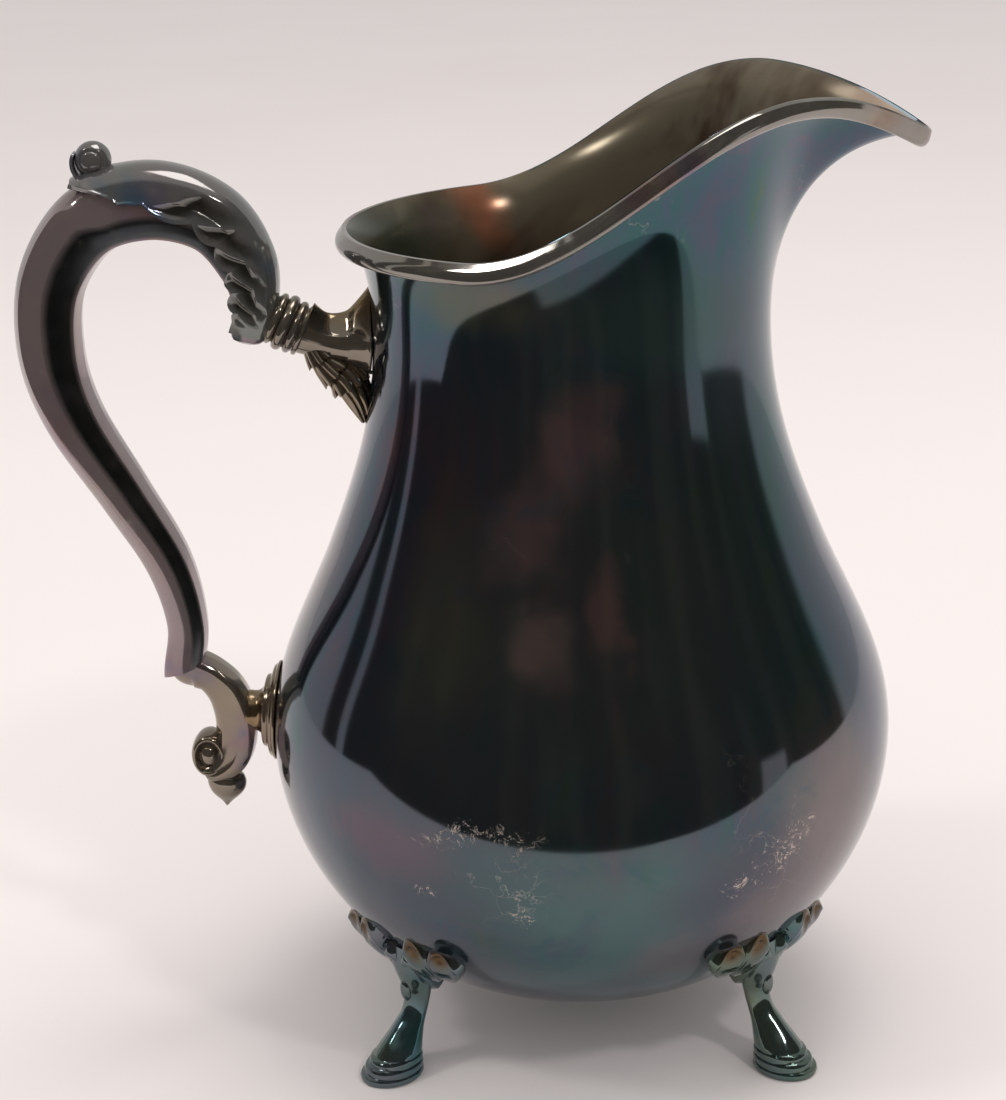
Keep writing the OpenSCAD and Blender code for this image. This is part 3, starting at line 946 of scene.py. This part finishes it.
socket_rings = [socket_ring(u) for u in stops(0, 5, 46)]
socket_rings += [foot_ring(0.97, 1.5), foot_ring(1.02, 1.1), foot_ring(1.03, 0.5), foot_ring(1.02, 0.05)]
socket = closed_tube("handle_socket", socket_rings)
socket_heights = [v.co.z / MM - foot_z for v in socket.data.vertices]
mark_points(socket, "hollow", [[min(1, max(0, (up - 1.5) / 5)) * 0.8 for up in socket_heights]])
modify(socket, "SUBSURF", levels=1, render_levels=1)
smooth(socket, 60)

# %% [markdown]
# ## The fluted fan
# Under the socket hangs a fan of fluted shell lobes, one over the other, the last one long and
# lying against the neck. They nest so closely that one tube does for all: its rings swell to the
# lip of a lobe, step back in, and carry the flutes round them.

# %% The fan
# x from the axis, z, half depth in profile, half breadth
fan_path = [[-61.2, 169.5, 3.2, 4.6], [-57.6, 164.6, 4.6, 5.8], [-52.6, 160.0, 5.4, 6.4],
            [-49.9, 154.4, 3.6, 4.6], [-48.9, 149.9, 1.2, 1.9]]
LOBES = [0.0, 0.20, 0.38, 0.56, 1.0]
FAN_AROUND, FLUTES = 168, 12


def fan_ring(s, share):
    """A ring at s along the fan, `share` of the way from a lobe's root to its lip."""
    x, z, depth, half = through(fan_path, s * (len(fan_path) - 1))
    run = through(fan_path, min(4, s * 4 + 0.05)) - through(fan_path, max(0, s * 4 - 0.05))
    way = run[:2] / np.hypot(*run[:2])
    ring, marks = [], []
    for turn in angles(FAN_AROUND):
        ridge = abs(cos(FLUTES * turn / 2))
        swell = (0.80 + 0.24 * share ** 0.7) * (0.90 + 0.14 * ridge * (0.4 + 0.6 * share))
        ahead = 0.45 * ridge * share
        ring.append((x + way[0] * ahead + way[1] * depth * swell * cos(turn), half * swell * sin(turn),
                     z + way[1] * ahead - way[0] * depth * swell * cos(turn)))
        marks.append((1 - ridge) * 0.8)
    return ring, marks


fan_rings = [fan_ring(mix(a, b, share), share) for a, b in zip(LOBES, LOBES[1:])
             for share in [0, 0.08, 0.2, 0.35, 0.5, 0.65, 0.78, 0.88, 0.95, 1.0]]
fan = closed_tube("fluted_fan", *zip(*fan_rings))
smooth(fan, 50)

# %% [markdown]
# ## The lower joint
# The arm meets a short S scroll at a mitre. The scroll keeps the arm's ridged section and curls
# into a volute with a ball for an eye; a pointed drop hangs below. Stepped discs that follow the
# curve of the belly join it to the wall.

# %% The scroll
# The arm's columns again
scroll = [[-95.4, 93.0, 6.0, 3.2, 0.5], [-95.6, 89.4, 8.6, 4.4, 0.6], [-93.6, 87.9, 8.8, 4.7, 0.45],
          [-90.0, 85.9, 8.4, 4.7, 0.1], [-86.6, 82.0, 9.4, 4.8, 0], [-84.7, 76.6, 10.2, 4.8, 0],
          [-84.6, 70.8, 10.2, 4.7, 0], [-86.2, 65.4, 9.6, 4.5, 0], [-89.6, 61.9, 6.4, 4.1, 0],
          [-92.6, 61.4, 3.6, 3.6, 0]]


def whole_section(ridge, roundness):
    """Both halves of the panelled section as one ring."""
    half = panelled_section(ridge, roundness, 11)
    return half + [(out, -across) for out, across in half[-2:0:-1]]


scroll_stops = stops(0, len(scroll) - 1, 90)
scroll_sections = [whole_section(np.interp(u, [0, 1.5, 4, 6, 9], [0.02, -0.16, -0.20, -0.1, 0.0]),
                                 np.interp(u, [0.8, 2.2, 6, 8.5], [0.0, 0.8, 0.8, 1.0]))
                   for u in scroll_stops]
scroll_arm = closed_tube("lower_scroll_arm", [
    [off_path(scroll, u, out * through(scroll, u)[2], across * through(scroll, u)[3])
     for out, across in section] for u, section in zip(scroll_stops, scroll_sections)])
smooth(scroll_arm, 26)

# %% The volute
volute_x, volute_z = -91.6, 65.9


def volute_side(sign):
    """From the eye ball out over the groove and the bright rim to the volute's back."""
    eye = [(2.0 * sin(t), sign * (2.9 + 1.35 * cos(t))) for t in np.linspace(0, radians(100), 12)]
    rim = [(2.35, sign * 2.5), (2.8, sign * 2.9), (3.15, sign * 3.75), (3.35, sign * 4.05), (3.6, sign * 4.1),
           (3.85, sign * 3.95), (4.1, sign * 3.5), (4.35, sign * 2.6), (4.5, sign * 1.3)]
    return eye + rim


outline = volute_side(-1) + [(4.55, 0)] + volute_side(1)[::-1]
volute = spun("scroll_eye", outline, 80)
volute.data.transform(Matrix.Scale(1.28, 4, (0, 1, 0)) @ Matrix.Scale(0.97, 4, (1, 0, 0)))
put(volute, volute_x, 0, volute_z, (90, 0, 0))
smooth(volute, 45)

# %% The drop
drop_x, drop_z = -88.3, 51.3
drop_curve = [bezier([(0.15, 0), (1.6, 2.6), (4.4, 3.4), (4.5, 7.0)], t) for t in stops(0, 1, 22)]
drop_outline = [(0, 0)] + [tuple(p) for p in drop_curve] + [(4.35, 8.0), (3.9, 8.7), (2.6, 9.3), (0, 9.6)]
drop = spun("hanging_drop", drop_outline, 64)
for vertex in drop.data.vertices:
    height = vertex.co.z / MM
    vertex.co.x += 0.9 * MM * sin(pi * min(1, height / 9.6)) * (1 if vertex.co.x > 0 else 0.2)
    vertex.co.y *= 0.92
put(drop, drop_x, 0, drop_z)
smooth(drop, 50)

# %% The stepped discs
# Each ring: distance from the middle and height off the wall
STEPS = [(4.6, 7.6), (5.2, 6.9), (5.0, 6.0), (4.9, 5.0), (5.1, 4.2), (5.7, 3.6), (6.4, 3.3), (8.3, 3.25),
         (8.75, 3.1), (8.95, 2.75), (9.0, 2.2), (9.15, 1.95), (10.4, 1.9), (11.0, 1.8), (11.35, 1.55),
         (11.45, 1.2), (11.6, 1.05), (12.0, 1.0), (12.2, 0.8), (12.25, 0.4), (12.2, 0.05)]
disc_z, neck_edge = 76.6, 5.9
disc_rings = [[on_handle_side(r * cos(t), disc_z + r * sin(t), off) for t in angles(96)] for r, off in STEPS]
discs = closed_tube("stepped_discs", disc_rings)
from_middle = [hypot(v.co.y / MM, v.co.z / MM - disc_z) for v in discs.data.vertices]
mark_points(discs, "hollow", [[0.9 if r < neck_edge else 0.25 for r in from_middle]])
modify(discs, "SUBSURF", levels=1, render_levels=1)
smooth(discs, 45)

# %% [markdown]
# ## The feet
# Four cast feet share one pattern: a cabriole leg with a stepped pad, and a leaf of rolled lobes
# that clasps the belly on both sides. The leg is a tube of rings. The leaf is relief on the wall:
# each lobe is a pillow with a rolled rim and a scooped hollow, and the highest lobe wins, so lobes
# overlap as in the casting. The pattern is made once, and four turned copies stand for the feet.

# %% The leg
pad_reach, foot_angle = 63.5, 43.0
# distance from the pad's middle, height, half length away from the axis, half breadth
PAD = [[0.3, 0.0, 7.2, 6.1], [0.35, 0.35, 7.8, 6.6], [0.35, 1.0, 8.0, 6.85], [0.3, 1.55, 7.85, 6.7],
       [-0.1, 1.8, 7.3, 6.25], [-0.2, 2.0, 7.25, 6.25], [-0.3, 2.7, 7.4, 6.4], [-0.4, 3.3, 7.2, 6.25],
       [-0.85, 3.55, 6.6, 5.75], [-1.0, 3.75, 6.55, 5.75], [-1.1, 4.45, 6.65, 5.9], [-1.25, 5.05, 6.4, 5.75],
       [-1.6, 5.3, 5.95, 5.3], [-1.75, 5.5, 5.9, 5.3], [-2.0, 6.2, 5.8, 5.3]]
LEG = [[-2.0, 6.2, 5.8, 5.3], [-3.1, 8.4, 5.1, 4.8], [-5.0, 11.4, 3.9, 4.0], [-7.0, 14.4, 3.0, 3.5],
       [-8.0, 18.0, 2.8, 3.9], [-7.8, 21.4, 3.2, 4.9], [-7.0, 25.0, 3.3, 5.6], [-6.2, 28.6, 3.0, 5.8],
       [-5.8, 32.0, 2.4, 5.4]]


def leg_ring(shift, z, long, half):
    """A ring of the leg: an oval with a fuller toe, keeled towards the toe as it rises."""
    keel = 0.16 * soft_step((z - 5) / 5) * (1 - soft_step((z - 20) / 8))
    return [(pad_reach + shift + long * cos(a), half * sin(a) * (1 - keel * max(0, cos(a)) * 2), z)
            for a in angles(56)]


leg_rings = [leg_ring(*row) for row in PAD]
leg_rings += [leg_ring(*through(LEG, u)) for u in stops(0.12, len(LEG) - 1, 56)]
leg = closed_tube("leg", leg_rings)
mark_points(leg, "hollow", [[0.0] * len(leg.data.vertices)])
print("leg:", len(leg_rings), "rings")

# %% The clasping leaf
# Each lobe: middle and half width as shares of the half angle, middle and half height as shares of
# the leaf, height in mm, how strongly it is scooped, and where its scoop lies above its middle
LEAF_HALF_ANGLE = 18.5
PILLOWS = [(0.78, 0.27, 0.60, 0.42, 3.4, 1.0, 0.70), (0.43, 0.23, 0.58, 0.44, 4.0, 1.0, 0.70),
           (0.16, 0.19, 0.26, 0.40, 5.2, 0.7, 0.40)]
LEAF_ALONG, LEAF_ACROSS = 72, 210


def leaf_band(f):
    """The wall's s at the bottom and the top of the leaf, a share f of the half angle to one side."""
    return 0.36 + 0.10 * f * f, 0.60 + 0.02 * cos(radians(200 * f)) - 0.005 * f * f


def relief(f, v):
    """Height of the leaf's relief over the wall, and how deep in a scoop the place lies."""
    best, scooped = -0.45, 0.0
    for middle, wide, up, tall, high, scoop, rise in PILLOWS:
        x, y = (abs(f) - middle) / wide, (v - up) / tall
        rho = sqrt(x * x + y * y)
        if rho >= 1:
            continue
        dome = high * (1 - rho ** 3.2) ** 0.55
        rim = 0.45 * exp(-((rho - 0.82) / 0.09) ** 2)
        dip = scoop * exp(-(x * x * 0.9 + (y - rise) ** 2 * 2.4) / 0.24)
        height = dome + rim - 2.2 * dip - 0.45
        if height > best:
            best, scooped = height, dip
    stem = 3.4 * exp(-(f / 0.10) ** 2) * (1 - soft_step((v - 0.35) / 0.3)) - 0.45
    return (stem, 0.2) if stem > best else (best, scooped)


leaf_rows, leaf_marks = [], []
for v in stops(0, 1, LEAF_ALONG):
    row, marks = [], []
    for f in stops(-1.06, 1.06, LEAF_ACROSS):
        low, high = leaf_band(f)
        lift, scooped = relief(f, v)
        row.append(on_wall(radians(LEAF_HALF_ANGLE * f), mix(low, high, v), lift))
        marks.append(min(1, scooped * (1.4 if abs(f) > 0.32 else 0.3)))
    leaf_rows.append(row)
    leaf_marks.append(marks)
clasp = sheet_metal("clasp", leaf_rows)
mark_points(clasp, "hollow", leaf_marks)
face_towards(clasp, (1, 0, -1))
modify(clasp, "SOLIDIFY", thickness=0.5 * MM, offset=-1)
print("clasp:", len(clasp.data.polygons), "faces")

# %% The teardrop on the knee
bead_curve = [tuple(bezier([(0.1, 0.05), (1.5, 0.6), (1.9, 3.0), (0.9, 5.2)], t)) for t in stops(0, 1, 14)]
bead = spun("bead", [(0, 0), *bead_curve, (0, 6.0)], 32)
bead.data.transform(Matrix.Scale(0.8, 4, (1, 0, 0)))
put(bead, pad_reach - 5.3, 0, 17.4, (0, 8, 0))
mark_points(bead, "hollow", [[0.1] * len(bead.data.vertices)])
print("teardrop:", len(bead.data.polygons), "faces")

# %% Four feet
take_up(leg)
for part in (clasp, bead):
    part.select_set(True)
bpy.ops.object.join()
pattern = bpy.context.object
smooth(pattern, 40)
FEET = {"foot_front_spout": -foot_angle, "foot_front_handle": foot_angle - 180,
        "foot_back_spout": foot_angle, "foot_back_handle": 180 - foot_angle}
feet = {}
about_axis = Matrix.Translation((axis_x * MM, 0, 0))
for node, turn in FEET.items():
    foot = copy_of(pattern, node.replace("foot", "cast_foot"))
    foot.data.transform(about_axis @ Matrix.Rotation(radians(turn), 4, "Z") @ about_axis.inverted())
    feet[node] = foot
take_up(pattern)
bpy.ops.object.delete()
print("feet:", sorted(feet))

# %% [markdown]
# ## Camera
# The camera stands a little above the lip and looks down at the belly from about arm's length, with
# a long lens that keeps spout and handle in proportion. It leans a little, as in the hand.

# %% The camera
camera_place = Vector((axis_x, -577.5, 308.5)) * MM
look_down, look_left, lean = radians(18.38), radians(1.745), radians(-1.87)
camera_data = bpy.data.cameras.new("camera")
camera_data.lens = 83.0
camera = bpy.data.objects.new("camera", camera_data)
bpy.context.collection.objects.link(camera)
camera.matrix_world = (Matrix.Translation(camera_place) @ Matrix.Rotation(look_left, 4, "Z")
                       @ Matrix.Rotation(pi / 2 - look_down, 4, "X") @ Matrix.Rotation(lean, 4, "Z"))
bpy.context.scene.camera = camera
print("camera at", [round(v, 3) for v in camera_place])

# %% [markdown]
# ## Table and studio
# Polished metal shows its surroundings more than itself. The pitcher stands on a pale sheet that
# ends a hand's breadth in front of it, and the dark room beyond is the big black shape in the belly.
# The floor is for the eye only, so it is hidden from reflections. The room's brightness by direction
# is painted on the world, for reflections alone, so the sheet stays evenly lit from all round.


# %% The floor
def cloth_finish():
    material, shader, point = new_finish("pale_sheet")
    soft = noise(point, 5, 3, 0.5)
    plug_in(shader, base_color=colour_mix(soft, (0.80, 0.745, 0.735), (0.84, 0.79, 0.78)),
            roughness=noise(point, 60, 2) * 0.1 + 0.85)
    return material


def flat_sheet(name, left, right, front, back, z):
    clear_bench()
    bpy.ops.mesh.primitive_plane_add(size=1)
    piece = started(name)
    for vertex in piece.data.vertices:
        x, y = vertex.co.x + 0.5, vertex.co.y + 0.5
        vertex.co = (mix(left, right, x), mix(front, back, y), z)
    piece.data.materials.append(pale_sheet)
    return piece


pale_sheet = cloth_finish()
SHEET_EDGE = -205 * MM
flat_sheet("sheet", -0.9, 0.9, SHEET_EDGE, 1.2, 0.0)
floor_beyond = flat_sheet("floor", -9, 9, -9, 9, -0.3 * MM)
floor_beyond.visible_glossy = False
print("sheet ends", round(abs(SHEET_EDGE) / MM), "mm in front of the axis")


# %% The room around it
def room():
    world = bpy.data.worlds.new("room")
    bpy.context.scene.world = world
    world.use_nodes = True
    tree = world.node_tree
    tree.nodes.clear()
    way = Wire(tree, Wire.node(tree, "ShaderNodeTexCoord").outputs["Generated"])
    x, y, z = parts_of(way)
    turn = x.math("ARCTAN2", y * -1) * (180 / pi)
    rise = z.math("ARCSINE") * (180 / pi)

    ripple = noise(way, 3.2, 3) * 5 - 2.5
    dark = (turn + ripple * 0.4).step(-109, -107) * (turn + ripple).step(114, 108)
    dark = dark * (rise + ripple).step(58, 44)
    low_table = (rise + ripple * 0.6).step(-30, -33) * turn.step(-16, -8)
    dark = dark * (1.0 - low_table)
    left_gap = turn.step(-99.5, -98.5) * turn.step(-94.5, -95.5)
    right_gap = turn.step(66, 67) * turn.step(78, 77) * rise.step(2, -1)
    gap = left_gap + right_gap
    stripes = noise(vector_math(way, "MULTIPLY", (1, 1, 0.05)), 5.5, 1, 0.5).step(0.42, 0.68)
    room_tone = colour_mix(stripes, (0.036, 0.034, 0.029), (0.080, 0.070, 0.052))
    pale = colour_mix(rise.step(-10, 60), (0.60, 0.58, 0.57), (0.46, 0.45, 0.42))
    seen = colour_mix(dark * (1.0 - gap.math("MINIMUM", 1.0)), pale, room_tone)

    paths = Wire.node(tree, "ShaderNodeLightPath")
    mirrored = Wire(tree, paths.outputs["Is Glossy Ray"])
    for_eye = Wire(tree, paths.outputs["Is Camera Ray"])
    light = colour_mix(for_eye, (0.80, 0.78, 0.77), (0.80, 0.76, 0.75))
    shine = Wire.node(tree, "ShaderNodeBackground", None,
                      {"Color": colour_mix(mirrored, light, seen), "Strength": 1.0})
    output = Wire.node(tree, "ShaderNodeOutputWorld")
    tree.links.new(shine.outputs[0], output.inputs["Surface"])


room()
print("room built")


# %% The lamps
def soft_lamp(name, place, size, watts, colour=(1, 0.97, 0.94)):
    """A square lamp that faces the middle of the pitcher."""
    lamp = bpy.data.lights.new(name, "AREA")
    lamp.shape, lamp.size, lamp.energy, lamp.color = "SQUARE", size, watts, colour
    holder = bpy.data.objects.new(name, lamp)
    bpy.context.collection.objects.link(holder)
    aim = Vector((axis_x * MM, 0, 0.11)) - Vector(place)
    holder.matrix_world = Matrix.Translation(place) @ aim.to_track_quat("-Z", "Y").to_matrix().to_4x4()
    return holder


soft_lamp("ceiling_lamp", (0.25, 0.2, 1.5), 0.7, 7)
soft_lamp("front_lamp", (0.75, -0.85, 1.25), 0.16, 3.5)
soft_lamp("side_lamp", (-0.9, -0.35, 1.2), 0.2, 2.5)

# %% Colours as the eye sees them
bpy.context.scene.view_settings.view_transform = "Standard"

# %% [markdown]
# ## Hand over
# Every piece rides on the pitcher's one body, and the parts of the frame that it stands for are hidden.

# %% Hand the pieces over
PIECES = [(body, wall_metal, "body", ["body_shell"]),
          (moulding, rim_metal, "rim", ["rim_moulding"]),
          (arm_front, handle_metal, "handle", ["handle_half_front"]),
          (arm_back, handle_metal, "handle", ["handle_half_back"]),
          (leaf, leaf_metal, "leaf", ["handle_leaf"]),
          (ball, leaf_metal, "leaf", ["thumb_ball"]),
          (curl, leaf_metal, "leaf", []),
          (collar, casting_metal, "castings", ["handle_collar"]),
          (socket, casting_metal, "castings", ["upper_socket"]),
          (fan, casting_metal, "castings", ["socket_leaf"]),
          (scroll_arm, casting_metal, "castings", ["lower_scroll"]),
          (volute, casting_metal, "castings", ["scroll_volute"]),
          (drop, casting_metal, "castings", ["scroll_drop"]),
          (discs, casting_metal, "castings", ["lower_escutcheon"])]
PIECES += [(foot, foot_metal, "feet", [node]) for node, foot in feet.items()]
for piece, metal, slot, nodes in PIECES:
    piece.data.materials.clear()
    piece.data.materials.append(metal)
    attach(piece, "root")
    if nodes:
        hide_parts(*nodes)
print("pieces:", len(PIECES), "triangles:",
      sum(len(face.vertices) - 2 for entry in PIECES for face in entry[0].data.polygons))
